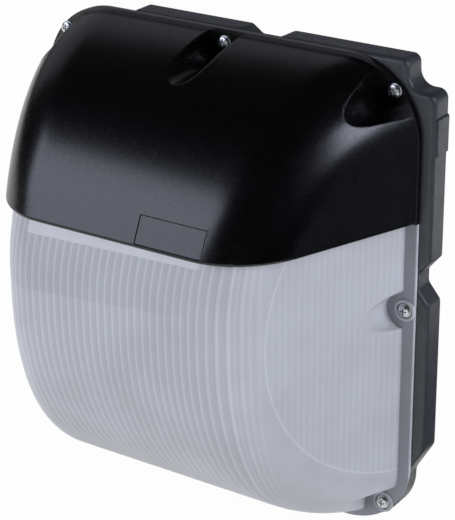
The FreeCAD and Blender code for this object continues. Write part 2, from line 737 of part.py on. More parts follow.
def lamp_clips():
    """Two forked clips that steady the far ends of the lamps."""
    reach = LIMB_PITCH / 2 + LIMB_R + CLIP_GAP
    outer = reach + CLIP_T
    waist = 8.0
    x0, x1 = CLIP_X, CLIP_X + CLIP_W
    clips = []
    for z in LAMP_ZS:
        clip = bar(x0, x1, REFLECTOR_FACE, LAMP_Y + LIMB_PITCH / 2, z - outer, z + outer)
        clip = clip.cut(bar(x0, x1, LAMP_Y - reach, FAR, z - reach, z + reach))
        for a, b in ((z - outer, z - waist), (z + waist, z + outer)):
            clip = clip.cut(bar(x0, x1, REFLECTOR_FACE + CLIP_T, LAMP_Y - reach - CLIP_T, a, b))
        clips.append(clip)
    return Part.makeCompound(clips)


PARTS = {
    "back_housing": back_housing,
    "cover_gasket": lambda: seal_space(0.0),
    "wall_fixing_seals": wall_fixing_seals,
    "cable_grommet": cable_grommet,
    "gear_tray": gear_tray,
    "gear_tray_screws": gear_tray_screws,
    "ballast": ballast,
    "ballast_terminals": ballast_terminals,
    "ballast_screws": ballast_screws,
    "terminal_block": terminal_block,
    "terminal_screws": terminal_screws,
    "cable_clamp": cable_clamp,
    "cable_clamp_screws": cable_clamp_screws,
    "earth_terminal": earth_terminal,
    "reflector": reflector,
    "reflector_screws": reflector_screws,
    "lampholder_bracket": lampholder_bracket,
    "bracket_screws": bracket_screws,
    "lampholder_upper": lambda: lampholder(LAMP_ZS[0]),
    "lampholder_lower": lambda: lampholder(LAMP_ZS[1]),
    "lamp_clips": lamp_clips,
    "lamp_upper_tubes": lambda: lamp_tubes(LAMP_ZS[0]),
    "lamp_upper_base": lambda: lamp_base(LAMP_ZS[0]),
    "lamp_lower_tubes": lambda: lamp_tubes(LAMP_ZS[1]),
    "lamp_lower_base": lambda: lamp_base(LAMP_ZS[1]),
    "lens": lens,
    "hood": hood,
    "blanking_plate": blanking_plate,
    "cover_screws": cover_screws,
    "screw_washers": screw_washers,
}

os.makedirs("parts", exist_ok=True)
for name, make in PARTS.items():
    shape = make()
    shape.exportStep("parts/" + name + ".step")
    box = shape.BoundBox
    span = [round(v, 1) for v in (box.XMin, box.XMax, box.YMin, box.YMax, box.ZMin, box.ZMax)]
    print(name, shape.isValid(), len(shape.Solids), round(shape.Volume / 1000, 1), span)
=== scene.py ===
import bpy, bmesh, json, math
from mathutils import Matrix, Vector

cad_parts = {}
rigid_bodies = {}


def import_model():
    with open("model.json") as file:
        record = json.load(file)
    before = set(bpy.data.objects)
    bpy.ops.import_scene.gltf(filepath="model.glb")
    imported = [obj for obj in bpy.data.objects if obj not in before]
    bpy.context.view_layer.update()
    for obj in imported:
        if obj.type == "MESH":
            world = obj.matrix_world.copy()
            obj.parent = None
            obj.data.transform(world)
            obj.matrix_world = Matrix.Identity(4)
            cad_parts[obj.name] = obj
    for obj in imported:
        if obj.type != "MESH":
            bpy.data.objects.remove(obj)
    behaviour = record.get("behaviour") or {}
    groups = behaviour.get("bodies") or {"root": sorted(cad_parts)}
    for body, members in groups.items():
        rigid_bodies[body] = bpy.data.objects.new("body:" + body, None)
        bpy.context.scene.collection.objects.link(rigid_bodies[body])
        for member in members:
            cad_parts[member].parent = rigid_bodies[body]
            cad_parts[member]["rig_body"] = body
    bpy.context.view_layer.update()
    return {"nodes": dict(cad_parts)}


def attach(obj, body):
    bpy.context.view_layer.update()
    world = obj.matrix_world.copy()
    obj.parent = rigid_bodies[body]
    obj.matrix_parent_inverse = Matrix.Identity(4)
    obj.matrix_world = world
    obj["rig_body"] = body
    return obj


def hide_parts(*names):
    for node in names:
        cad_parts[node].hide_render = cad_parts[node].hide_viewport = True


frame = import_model()

# ---------------------------------------------------------------------------
# Back housing: a black moulded box that screws to the wall and holds the gear.
# It is glass-filled polycarbonate, which leaves a fine, slightly uneven matt
# skin, and its form comes straight from the solid, with its edges smoothed.
# ---------------------------------------------------------------------------
MM = 0.001
MERGE_MM = 0.01
FLAT_ANGLE = 0.2
SHARP_ANGLE = 50.0


def linear(hex_colour):
    """An sRGB hex colour as linear red, green, blue and alpha."""
    parts = [int(hex_colour[i:i + 2], 16) / 255 for i in (1, 3, 5)]
    return [c / 12.92 if c <= 0.04045 else ((c + 0.055) / 1.055) ** 2.4 for c in parts] + [1.0]


def add_node(finish, kind, inputs=None, **settings):
    """Adds a node with its settings. An input is a value, or a socket to link it to."""
    node = finish.node_tree.nodes.new(kind)
    for name, value in settings.items():
        setattr(node, name, value)
    for key, value in (inputs or {}).items():
        if isinstance(value, bpy.types.NodeSocket):
            finish.node_tree.links.new(value, node.inputs[key])
        else:
            node.inputs[key].default_value = value
    return node


def new_finish(name, **shader):
    """A named material, its main shader and its Object coordinates, which are in metres."""
    finish = bpy.data.materials.new(name)
    finish.use_nodes = True
    finish.node_tree.nodes.clear()
    output = add_node(finish, "ShaderNodeOutputMaterial")
    bsdf = add_node(finish, "ShaderNodeBsdfPrincipled", shader)
    finish.node_tree.links.new(bsdf.outputs["BSDF"], output.inputs["Surface"])
    place = add_node(finish, "ShaderNodeTexCoord").outputs["Object"]
    return finish, bsdf, place


def mottle(finish, place, size_mm, detail, dark, light, low=0.35, high=0.65):
    """A noise of a real size, spread between two values: numbers or colours."""
    noise = add_node(finish, "ShaderNodeTexNoise", {"Vector": place, "Scale": 1 / (size_mm * MM), "Detail": detail})
    if isinstance(dark, str):
        ramp = add_node(finish, "ShaderNodeValToRGB", {"Fac": noise.outputs["Fac"]})
        ramp.color_ramp.elements[0].position = low
        ramp.color_ramp.elements[0].color = linear(dark)
        ramp.color_ramp.elements[1].position = high
        ramp.color_ramp.elements[1].color = linear(light)
        return ramp.outputs["Color"]
    spread = add_node(finish, "ShaderNodeMapRange", {
        "Value": noise.outputs["Fac"], "From Min": low, "From Max": high, "To Min": dark, "To Max": light})
    return spread.outputs["Result"]


def grain(finish, bsdf, place, size_mm, detail, depth_mm, strength):
    """The uneven skin of a moulded or coated surface: low mounds of a real size and depth."""
    mounds = mottle(finish, place, size_mm, detail, 0.0, 1.0)
    skin = add_node(finish, "ShaderNodeBump", {"Height": mounds, "Distance": depth_mm * MM, "Strength": strength})
    finish.node_tree.links.new(skin.outputs["Normal"], bsdf.inputs["Normal"])


def join_to(finish, bsdf, **sockets):
    """Links sockets to the main shader's inputs, whose names are written with underscores."""
    for name, socket in sockets.items():
        finish.node_tree.links.new(socket, bsdf.inputs[name.replace("_", " ")])


def deselect():
    """Leaves edit mode and selects nothing."""
    if bpy.context.mode != "OBJECT":
        bpy.ops.object.mode_set(mode="OBJECT")
    bpy.ops.object.select_all(action="DESELECT")


def choose(piece):
    """Selects one piece and makes it active."""
    deselect()
    piece.select_set(True)
    bpy.context.view_layer.objects.active = piece


def dress(piece, finish, slot, body, *nodes):
    """Gives a finished piece its material and its body, and hides the nodes that it stands for. The slot is not used.
    """
    piece.data.materials.clear()
    piece.data.materials.append(finish)
    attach(piece, body)
    if nodes:
        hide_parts(*nodes)


def smoothed(node, name, finish, slot, angle=30.0, rounding=0.0):
    """A merged copy of a solid, with its hard edges rounded if asked and its curves shaded smooth."""
    solid = frame["nodes"][node]
    piece = solid.copy()
    piece.data = solid.data.copy()
    for key in list(piece.keys()):
        del piece[key]
    piece.parent = None
    piece.name = name
    piece.data.name = name
    bpy.context.scene.collection.objects.link(piece)
    choose(piece)
    bpy.ops.object.mode_set(mode="EDIT")
    bpy.ops.mesh.select_all(action="SELECT")
    bpy.ops.mesh.remove_doubles(threshold=MERGE_MM * MM)
    bpy.ops.mesh.dissolve_limited(angle_limit=math.radians(FLAT_ANGLE), delimit={"NORMAL"})
    bpy.ops.object.mode_set(mode="OBJECT")
    if rounding:
        edge = piece.modifiers.new("edge", "BEVEL")
        edge.width = rounding * MM
        edge.segments = 2
        edge.limit_method = "ANGLE"
        edge.angle_limit = math.radians(SHARP_ANGLE)
        bpy.ops.object.modifier_apply(modifier=edge.name)
    bpy.ops.object.shade_smooth_by_angle(angle=math.radians(angle))
    dress(piece, finish, slot, solid["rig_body"], node)


# Moulded in a spark-eroded tool: a dark grey with a satin, slightly uneven shine. The
# grain is drawn at 0.9 mm, coarser than a real one, so that it shows.
housing_plastic, bsdf, place = new_finish("glass_filled_polycarbonate_black", Roughness=0.42, IOR=1.55)
join_to(housing_plastic, bsdf, Base_Color=mottle(housing_plastic, place, 9.0, 3.0, "#2f3134", "#37393d"))
join_to(housing_plastic, bsdf, Roughness=mottle(housing_plastic, place, 2.5, 4.0, 0.36, 0.5))
grain(housing_plastic, bsdf, place, size_mm=0.9, detail=3.0, depth_mm=0.05, strength=0.6)
smoothed("back_housing", "housing_shell", housing_plastic, "housing_black")

# ---------------------------------------------------------------------------
# Seals: a silicone cord in the groove of the housing, moulded rubber washers on
# the wall fixings and a moulded grommet at the cable entry. All of them are
# dull, and the rubber has a faint bloom.
# ---------------------------------------------------------------------------
# Cut silicone cord: a dull mid grey with a pitted skin, whose pits are drawn coarser than
# real ones, so that they show.
seal_foam, bsdf, place = new_finish("silicone_cord_grey", Roughness=0.8, IOR=1.41)
join_to(seal_foam, bsdf, Base_Color=mottle(seal_foam, place, 1.6, 4.0, "#4c4e50", "#6a6c6e"))
grain(seal_foam, bsdf, place, size_mm=0.8, detail=2.0, depth_mm=0.06, strength=0.8)
smoothed("cover_gasket", "cord_seal", seal_foam, "gasket_rubber")

# Moulded rubber: almost black and dull, with a pale bloom in patches and a grain drawn
# coarser than real.
seal_rubber, bsdf, place = new_finish("epdm_rubber_black", Roughness=0.7, IOR=1.52)
join_to(seal_rubber, bsdf, Base_Color=mottle(seal_rubber, place, 3.0, 4.0, "#131313", "#242424"))
grain(seal_rubber, bsdf, place, size_mm=0.5, detail=2.0, depth_mm=0.03, strength=0.5)
smoothed("wall_fixing_seals", "fixing_seals", seal_rubber, "seal_rubber", rounding=0.4)
smoothed("cable_grommet", "entry_grommet", seal_rubber, "grommet_rubber", rounding=0.3)

# ---------------------------------------------------------------------------
# Gear tray: folded galvanised sheet on four posts. The hot-dip skin shows as
# spangle, flat crystals of slightly different grey, some 6 mm across.
# ---------------------------------------------------------------------------
# Hot-dip zinc: each crystal has its own grey and its own shine, so the sheet looks patchy.
galvanised, bsdf, place = new_finish("galvanised_steel_sheet", Metallic=1.0, Roughness=0.42)
spangle = add_node(galvanised, "ShaderNodeTexVoronoi", {"Vector": place, "Scale": 1 / (6.0 * MM)})
shade = add_node(galvanised, "ShaderNodeValToRGB", {"Fac": spangle.outputs["Color"]})
shade.color_ramp.elements[0].color = linear("#8d9296")
shade.color_ramp.elements[1].color = linear("#b9bdc0")
shine = add_node(galvanised, "ShaderNodeMapRange", {"Value": spangle.outputs["Color"], "To Min": 0.34, "To Max": 0.52})
join_to(galvanised, bsdf, Base_Color=shade.outputs["Color"], Roughness=shine.outputs["Result"])
grain(galvanised, bsdf, place, size_mm=1.5, detail=3.0, depth_mm=0.01, strength=0.4)
smoothed("gear_tray", "tray_sheet", galvanised, "tray_steel")

# Bright zinc plating: a pale, slightly blue metal with a soft shine, a little worn.
plated, bsdf, place = new_finish("zinc_plated_steel", Metallic=1.0, Roughness=0.3)
join_to(plated, bsdf, Base_Color=mottle(plated, place, 1.2, 2.0, "#a8aaa6", "#c9ccca"))
join_to(plated, bsdf, Roughness=mottle(plated, place, 0.6, 3.0, 0.24, 0.4))
for node in ("gear_tray_screws", "ballast_screws", "cable_clamp_screws", "reflector_screws", "bracket_screws"):
    smoothed(node, node + "_plated", plated, "plated_steel", rounding=0.25)

# ---------------------------------------------------------------------------
# Control gear: a folded steel case, stoved in pale grey enamel with a light
# orange peel, and a push-in terminal strip moulded in white polyamide.
# ---------------------------------------------------------------------------
# Stoved enamel: an even pale grey with a half gloss that waves with the orange peel.
case_enamel, bsdf, place = new_finish("stoved_enamel_pale_grey", Roughness=0.35, IOR=1.5)
join_to(case_enamel, bsdf, Base_Color=mottle(case_enamel, place, 12.0, 3.0, "#c4c7c8", "#d2d4d4"))
grain(case_enamel, bsdf, place, size_mm=1.4, detail=2.0, depth_mm=0.03, strength=0.5)
smoothed("ballast", "gear_case_enamelled", case_enamel, "gear_case")

# Moulded nylon: a warm white that light enters a little, with a soft shine. Its grain is
# drawn coarser than real, so that it shows.
white_nylon, bsdf, place = new_finish("polyamide_white", Roughness=0.45, IOR=1.53)
bsdf.inputs["Subsurface Weight"].default_value = 0.15
bsdf.inputs["Subsurface Scale"].default_value = 2 * MM
join_to(white_nylon, bsdf, Base_Color=mottle(white_nylon, place, 4.0, 3.0, "#dcdcd6", "#e8e8e4"))
grain(white_nylon, bsdf, place, size_mm=0.6, detail=2.0, depth_mm=0.02, strength=0.4)
smoothed("ballast_terminals", "gear_terminals", white_nylon, "terminal_white", rounding=0.2)
smoothed("terminal_block", "mains_block", white_nylon, "terminal_white", rounding=0.2)

# Turned brass: a clear yellow metal with a bright, slightly uneven shine.
brass, bsdf, place = new_finish("turned_brass", Metallic=1.0, Roughness=0.28)
join_to(brass, bsdf, Base_Color=mottle(brass, place, 1.0, 3.0, "#b08d3c", "#c9a653"))
join_to(brass, bsdf, Roughness=mottle(brass, place, 0.5, 3.0, 0.22, 0.38))
smoothed("terminal_screws", "block_screws", brass, "brass", rounding=0.2)
smoothed("earth_terminal", "earth_stud", brass, "brass", rounding=0.2)

# Moulded black nylon: dull and dark with a fine grain, drawn coarser than real to show.
clamp_nylon, bsdf, place = new_finish("polyamide_black", Roughness=0.5, IOR=1.53)
join_to(clamp_nylon, bsdf, Base_Color=mottle(clamp_nylon, place, 3.0, 3.0, "#141416", "#202124"))
grain(clamp_nylon, bsdf, place, size_mm=0.6, detail=2.0, depth_mm=0.03, strength=0.5)
smoothed("cable_clamp", "cable_saddle", clamp_nylon, "clamp_black", rounding=0.3)

# ---------------------------------------------------------------------------
# Reflector, lampholders and lamp clips: white powder-coated sheet behind the
# lamps, a plated angle, moulded holders and sprung clips.
# ---------------------------------------------------------------------------
# Powder coat: an even, warm white with a low shine, broken by a fine orange peel.
powder_white, bsdf, place = new_finish("powder_coat_white", Roughness=0.5, IOR=1.5)
join_to(powder_white, bsdf, Base_Color=mottle(powder_white, place, 15.0, 3.0, "#e6e5e0", "#efeeea"))
grain(powder_white, bsdf, place, size_mm=1.1, detail=2.0, depth_mm=0.03, strength=0.6)
smoothed("reflector", "reflector_sheet", powder_white, "reflector_white")
smoothed("lampholder_bracket", "holder_angle", plated, "plated_steel")

# Moulded PBT: a creamy white with a faint shine, harder to the eye than nylon. Its grain
# is drawn coarser than real, so that it shows.
holder_plastic, bsdf, place = new_finish("pbt_white", Roughness=0.4, IOR=1.55)
join_to(holder_plastic, bsdf, Base_Color=mottle(holder_plastic, place, 5.0, 3.0, "#dedcd4", "#e9e7e0"))
grain(holder_plastic, bsdf, place, size_mm=0.7, detail=2.0, depth_mm=0.02, strength=0.4)
smoothed("lampholder_upper", "holder_upper", holder_plastic, "holder_white", rounding=0.5)
smoothed("lampholder_lower", "holder_lower", holder_plastic, "holder_white", rounding=0.5)

# Milky polycarbonate: glossy, and a little light passes through it.
clip_plastic, bsdf, place = new_finish("polycarbonate_milk_white", Roughness=0.3, IOR=1.585)
bsdf.inputs["Transmission Weight"].default_value = 0.25
join_to(clip_plastic, bsdf, Base_Color=mottle(clip_plastic, place, 6.0, 2.0, "#dfe1e0", "#eceded"))
grain(clip_plastic, bsdf, place, size_mm=0.8, detail=2.0, depth_mm=0.02, strength=0.3)
smoothed("lamp_clips", "tube_clips", clip_plastic, "clip_white", rounding=0.3)

# ---------------------------------------------------------------------------
# Lamps: two plug-in compact fluorescent lamps, each with four glass limbs
# coated inside with phosphor, cemented into a moulded base.
# ---------------------------------------------------------------------------
# Glass with phosphor inside: smooth and glossy outside, with a chalky white beneath.
lamp_glass, bsdf, place = new_finish("phosphor_coated_glass", Roughness=0.12, IOR=1.5)
join_to(lamp_glass, bsdf, Base_Color=mottle(lamp_glass, place, 20.0, 3.0, "#e9ebe8", "#f4f5f2"))
grain(lamp_glass, bsdf, place, size_mm=5.0, detail=2.0, depth_mm=0.05, strength=0.3)

# Moulded PET: a cool white with a low, even shine and a grain drawn coarser than real.
lamp_plastic, bsdf, place = new_finish("pet_white", Roughness=0.38, IOR=1.57)
join_to(lamp_plastic, bsdf, Base_Color=mottle(lamp_plastic, place, 5.0, 3.0, "#dddcd8", "#e9e8e5"))
grain(lamp_plastic, bsdf, place, size_mm=0.7, detail=2.0, depth_mm=0.02, strength=0.4)
for which in ("upper", "lower"):
    smoothed("lamp_" + which + "_tubes", "tubes_" + which, lamp_glass, "lamp_glass", angle=60.0)
    smoothed("lamp_" + which + "_base", "base_" + which, lamp_plastic, "lamp_base_white", rounding=0.4)

# ---------------------------------------------------------------------------
# Lens: one deep bowl moulded in frosted polycarbonate, with its flange, seven
# screw pockets and scooped flutes inside that run down the front and round
# the corners. Its skins are swept along the side profile, then cut and joined.
# ---------------------------------------------------------------------------
# Sizes in mm. The bowl is swept from well behind the wall plane and then trimmed. NEAR and
# SAME are how close two places are to count as one.
CROWN_Z = 156.5
BACK_END = 60.0
BACK_TRIM = 5.0
NEAR = 0.5
SAME = 0.01
SIDE_MIN_X = 30.0
# The side profile from the top to the foot: a run has its length, and an arc its radius,
# its angle and its number of steps.
SWEEP = (("run", 5.8 + BACK_END), ("arc", 140.1, 65.0, 26), ("run", 22.5), ("arc", 87.4, 25.0, 12), ("run", 15.3),
         ("arc", 165.5, 36.6, 18), ("arc", 152.4, 53.4, 24), ("run", BACK_END))
SIDE_HALF_W = 141.3
SIDE_TAPER = math.radians(20.7)
LENS_CORNER_R = 37.9
LENS_WALL = 3.0
FLANGE_HALF_W = 142.2
FLANGE_HALF_H = 161.6
FLANGE_TOP_R = 52.0
FLANGE_LOW_R = 48.0
LENS_BACK = 17.1
LENS_FACE = 19.1
FAR = 220.0
BEHIND = 10.0
MIDDLE = 10.0
FULL_ROUND = 0.999
FLUTE_PITCH = 5.65
FLUTE_START = 1.03
FLUTE_DEPTH = 0.7
HOOD_EDGE_Z = 58.6
SKIRT_T = 1.4
JOINT_GAP = 0.3
RING_R = 7.4
RING_HOLE_R = 5.4
RING_RISE = 1.3
RING_EDGE_R = 0.6
SCREW_HOLE_R = 2.3
HOLE_REACH = (10.0, 30.0)
SMOOTH_ANGLE = 28.0
# The screw pockets: x, z and radius.
POCKETS = ((1.4, 152.8, 15.9), (125.0, 142.8, 17.8), (-125.0, 142.8, 17.8), (135.4, -1.1, 13.0),
           (-135.4, -1.1, 13.0), (123.8, -143.3, 13.5), (-123.8, -143.3, 13.5))


def profile_stations(grow):
    """Places round the side profile: y and z in mm, and the direction of travel."""
    heading = math.pi
    y, z = BACK_END, CROWN_Z + grow
    stations = [(y, z, heading)]
    for step in SWEEP:
        if step[0] == "run":
            parts, turn, radius = 4, 0.0, 0.0
            reach = step[1] / parts
        else:
            parts = step[3]
            turn = math.radians(step[2]) / parts
            radius = step[1] + grow
            reach = 2 * radius * math.sin(turn / 2)
        for _ in range(parts):
            y += math.cos(heading + turn / 2) * reach
            z += math.sin(heading + turn / 2) * reach
            heading += turn
            stations.append((y, z, heading))
    return stations


def bowl_skin(name, front_grow, side_grow, corner_r, front_cols, corner_cols, flute=0.0):
    """A closed bowl with rounded corners and flat tapered sides. The grid is laid place by place along the
    profile, because no operator keeps the corner's radius even while the profile bends."""
    stations = profile_stations(front_grow)
    rows = len(stations) - 1
    cols = 2 * (front_cols + corner_cols)
    deselect()
    bpy.ops.mesh.primitive_grid_add(x_subdivisions=cols, y_subdivisions=rows, size=1.0)
    skin = bpy.context.active_object
    skin.name = name
    side = (math.cos(SIDE_TAPER), -math.sin(SIDE_TAPER), 0.0)
    side_face = SIDE_HALF_W + side_grow / math.cos(SIDE_TAPER)
    for vertex in skin.data.vertices:
        across = round((vertex.co.x + 0.5) * cols) - cols // 2
        row = round((vertex.co.y + 0.5) * rows)
        y, z, heading = stations[row]
        out = Vector((0.0, math.sin(heading), -math.cos(heading)))
        centre = Vector((0.0, y, z)) - out * corner_r
        centre.x = side_face + math.tan(SIDE_TAPER) * centre.y - corner_r / math.cos(SIDE_TAPER)
        hand = 1 if across >= 0 else -1
        step = abs(across)
        if step <= front_cols:
            point = Vector((centre.x * step / front_cols, y, z))
            normal = out
        else:
            full = out.angle(Vector(side))
            turn = full * (step - front_cols) / corner_cols
            normal = (out * math.sin(full - turn) + Vector(side) * math.sin(turn)) / math.sin(full)
            point = centre + normal * corner_r
        if flute:
            scoop = abs(math.cos(math.pi * (point.x * hand - FLUTE_START) / FLUTE_PITCH)) * flute
            point = point + normal * scoop
        vertex.co = Vector((point.x * hand, point.y, point.z)) * MM
    choose(skin)
    bpy.ops.object.mode_set(mode="EDIT")
    bpy.ops.mesh.select_mode(type="EDGE")
    for hand in (-1, 1):
        mesh = bmesh.from_edit_mesh(skin.data)
        for face in mesh.faces:
            face.select_set(False)
        for edge in mesh.edges:
            a, b = edge.verts[0].co, edge.verts[1].co
            middle = (a + b) / 2
            along_profile = abs(a.y - b.y) + abs(a.z - b.z) > NEAR * MM
            at_back = abs(middle.y - BACK_END * MM) < NEAR * MM
            edge.select_set(edge.is_boundary and along_profile and not at_back and middle.x * hand > SIDE_MIN_X * MM)
        bmesh.update_edit_mesh(skin.data)
        bpy.ops.mesh.edge_face_add()
    bpy.ops.mesh.select_all(action="SELECT")
    bpy.ops.mesh.bisect(plane_co=(0, BACK_TRIM * MM, 0), plane_no=(0, 1, 0), use_fill=True, clear_outer=True)
    bpy.ops.mesh.select_all(action="SELECT")
    bpy.ops.mesh.normals_make_consistent(inside=False)
    bpy.ops.object.mode_set(mode="OBJECT")
    return skin


def block_between(name, low, high):
    """A cube primitive stretched between two corners given in mm."""
    deselect()
    middle = [(a + b) / 2 * MM for a, b in zip(low, high)]
    bpy.ops.mesh.primitive_cube_add(size=1.0, location=middle)
    block = bpy.context.active_object
    block.name = name
    block.scale = [abs(b - a) * MM for a, b in zip(low, high)]
    bpy.ops.object.transform_apply(location=True, rotation=True, scale=True)
    return block


def round_upright_edges(block, corners, radius, segments):
    """Bevels the edges of a block that run square to the wall at the given x, z corners, in mm."""
    choose(block)
    bpy.ops.object.mode_set(mode="EDIT")
    bpy.ops.mesh.select_mode(type="EDGE")
    bpy.ops.mesh.select_all(action="DESELECT")
    mesh = bmesh.from_edit_mesh(block.data)
    for edge in mesh.edges:
        a, b = edge.verts[0].co, edge.verts[1].co
        if abs(a.x - b.x) < SAME * MM and abs(a.z - b.z) < SAME * MM:
            for x, z in corners:
                if abs(a.x - x * MM) < SAME * MM and abs(a.z - z * MM) < SAME * MM:
                    edge.select_set(True)
    bmesh.update_edit_mesh(block.data)
    bpy.ops.mesh.bevel(offset=radius * MM, segments=segments, affect="EDGES")
    bpy.ops.object.mode_set(mode="OBJECT")


def joined(name, pieces):
    """Several pieces made one."""
    deselect()
    for piece in pieces:
        piece.select_set(True)
    bpy.context.view_layer.objects.active = pieces[0]
    bpy.ops.object.join()
    pieces[0].name = name
    return pieces[0]


def pocket_cutter(name, shrink):
    """The seven screw pockets as one set of blocks with rounded inner edges, each made narrower by shrink. The
    top one is open upwards, the two at half height sideways, and the corner ones both ways."""
    blocks = []
    for x, z, radius in POCKETS:
        r = radius - shrink
        if abs(x) < MIDDLE:
            low, high = (x - r, -FAR, z - r), (x + r, BEHIND, FAR)
            corners = [(x - r, z - r), (x + r, z - r)]
        elif abs(z) < MIDDLE:
            inner, outer = x - math.copysign(r, x), math.copysign(FAR, x)
            low, high = (min(inner, outer), -FAR, z - r), (max(inner, outer), BEHIND, z + r)
            corners = [(inner, z - r), (inner, z + r)]
        else:
            inner_x, outer_x = x - math.copysign(r, x), math.copysign(FAR, x)
            inner_z, outer_z = z - math.copysign(r, z), math.copysign(FAR, z)
            low = (min(inner_x, outer_x), -FAR, min(inner_z, outer_z))
            high = (max(inner_x, outer_x), BEHIND, max(inner_z, outer_z))
            corners = [(inner_x, inner_z)]
        block = block_between(name, low, high)
        round_upright_edges(block, corners, r * FULL_ROUND, 20)
        blocks.append(block)
    return joined(name, blocks)


def combine(piece, other, operation):
    """Cuts, joins or keeps the shared part of two pieces, and removes the second."""
    choose(piece)
    tool = piece.modifiers.new(operation.lower(), "BOOLEAN")
    tool.operation = operation
    tool.solver = "EXACT"
    tool.object = other
    bpy.ops.object.modifier_apply(modifier=tool.name)
    bpy.data.objects.remove(other)
    return piece


def screw_bars(name, places, radius, back, front):
    """Round bars at the screw places, which cut holes or make rings."""
    bars = []
    for x, z, _ in places:
        deselect()
        bpy.ops.mesh.primitive_cylinder_add(
            vertices=32, radius=radius * MM, depth=(front - back) * MM,
            location=(x * MM, -(front + back) / 2 * MM, z * MM), rotation=(math.pi / 2, 0, 0))
        bpy.ops.object.transform_apply(location=True, rotation=True, scale=True)
        bars.append(bpy.context.active_object)
    return joined(name, bars)


def flange_plate(name, back, front, inset=0.0):
    """A plate with the flange's outline, made smaller all round by inset."""
    w, h = FLANGE_HALF_W - inset, FLANGE_HALF_H - inset
    plate = block_between(name, (-w, -front, -h), (w, -back, h))
    round_upright_edges(plate, [(w, h), (-w, h)], FLANGE_TOP_R - inset, 24)
    round_upright_edges(plate, [(w, -h), (-w, -h)], FLANGE_LOW_R - inset, 24)
    return plate


def trim(piece, place, normal):
    """Cuts a closed piece with a plane, clears what lies beyond it and closes the cut."""
    choose(piece)
    bpy.ops.object.mode_set(mode="EDIT")
    bpy.ops.mesh.select_all(action="SELECT")
    bpy.ops.mesh.bisect(plane_co=[c * MM for c in place], plane_no=normal, use_fill=True, clear_outer=True)
    bpy.ops.object.mode_set(mode="OBJECT")


lens_piece = bowl_skin("lens_bowl", 0.0, 0.0, LENS_CORNER_R, front_cols=12, corner_cols=14)
lens_piece = combine(lens_piece, pocket_cutter("lens_pockets", 0.0), "DIFFERENCE")
trim(lens_piece, (0, -(LENS_BACK + LENS_FACE) / 2, 0), (0, 1, 0))
skirt_room = combine(flange_plate("skirt_room", 0.0, FAR, -SKIRT_T),
                     flange_plate("skirt_core", -BEHIND, FAR + BEHIND, SKIRT_T + JOINT_GAP), "DIFFERENCE")
trim(skirt_room, (0, 0, HOOD_EDGE_Z - JOINT_GAP), (0, 0, -1))
lens_rim = combine(flange_plate("lens_rim", LENS_BACK, LENS_FACE), skirt_room, "DIFFERENCE")
lower_places = [p for p in POCKETS if p[1] < HOOD_EDGE_Z]
rings = screw_bars("lens_rings", lower_places, RING_R, LENS_BACK + 1, LENS_FACE + RING_RISE)
choose(rings)
rounding = rings.modifiers.new("rounding", "BEVEL")
rounding.width = RING_EDGE_R * MM
rounding.segments = 3
rounding.angle_limit = math.radians(SHARP_ANGLE)
bpy.ops.object.modifier_apply(modifier=rounding.name)
lens_rim = combine(lens_rim, rings, "UNION")
wells = screw_bars("ring_wells", lower_places, RING_HOLE_R, LENS_FACE, LENS_FACE + 2 * RING_RISE)
lens_rim = combine(lens_rim, wells, "DIFFERENCE")
lens_piece = combine(lens_piece, lens_rim, "UNION")
hollow = bowl_skin("lens_hollow", -LENS_WALL, -LENS_WALL, LENS_CORNER_R - LENS_WALL,
                   front_cols=90, corner_cols=36, flute=FLUTE_DEPTH)
hollow = combine(hollow, pocket_cutter("hollow_pockets", -LENS_WALL), "DIFFERENCE")
lens_piece = combine(lens_piece, hollow, "DIFFERENCE")
lens_piece = combine(lens_piece, screw_bars("lens_holes", POCKETS, SCREW_HOLE_R, *HOLE_REACH), "DIFFERENCE")
# The cuts leave three slivers open along the inner corner, up to 0.2 mm wide, which are closed here.
choose(lens_piece)
bpy.ops.object.mode_set(mode="EDIT")
bpy.ops.mesh.select_mode(type="VERT")
bpy.ops.mesh.select_all(action="DESELECT")
bpy.ops.mesh.select_non_manifold(extend=False, use_wire=False, use_multi_face=False, use_non_contiguous=False,
                                 use_verts=False)
bpy.ops.mesh.fill_holes(sides=5)
bpy.ops.object.mode_set(mode="OBJECT")


def even_shading(piece, angle):
    """Smooth shading on curves, with flat faces kept flat by weighting the normals by area."""
    choose(piece)
    bpy.ops.object.shade_smooth_by_angle(angle=math.radians(angle))
    level = piece.modifiers.new("level", "WEIGHTED_NORMAL")
    level.keep_sharp = True
    bpy.ops.object.modifier_apply(modifier=level.name)


even_shading(lens_piece, SMOOTH_ANGLE)

# Frosted polycarbonate: a cool, milky grey that lets some light through. The light that the flutes, the prisms of the
# sides and the arc between them catch is painted into the colour as thin pale lines, painted highlights, with painted
# shade at the flutes' hollows, at pitches measured on the real one. The grain is drawn at 0.8 mm, coarser than real.
# Zones and pitches are in mm, and each pair of a zone goes from its nought to its one.
FLUTE_CREST = 3.85
FLUTE_HOLLOW = 2.85
FRONT_END = (92, 82)
CORNER_ZONE = ((82, 85), (98, 93))
SIDE_START = (93, 98)
# A smooth band without flutes just under the hood, which is also painted lighter as a painted highlight.
SMOOTH_LIT_SLOPE = -0.03
SMOOTH_LIT_TOP = (52.2, 52.9)
SMOOTH_LIT_ENDS = ((66, 60), (-67, -65))
# Above a sloping line, fading out to the right, the lens is painted darker: painted shade of the gear behind it.
SHADE_LINE_SLOPE = -0.08
SHADE_LINE_FOOT = (19.0, 20.5)
SHADE_LINE_END = (72, 40)
ARC_CENTRE = (-5.0, -0.8)
ARC_START = (94, 96)
# The arc's thin pale line is a painted highlight.
ARC_HIGHLIGHT = ((114.8, 115.4), (116.6, 116.0))
INSIDE_ARC = (116.0, 115.2)
PRISM_PITCH = 4.6
PRISM_CREST = -78.5
FINE_PITCH = 2.83
FINE_CREST = 1.0
BOWL_START = (-19.3, -20.3)
SIDE_POCKET = (135.4, -1.1)
POCKET_END = (13.4, 14.4)
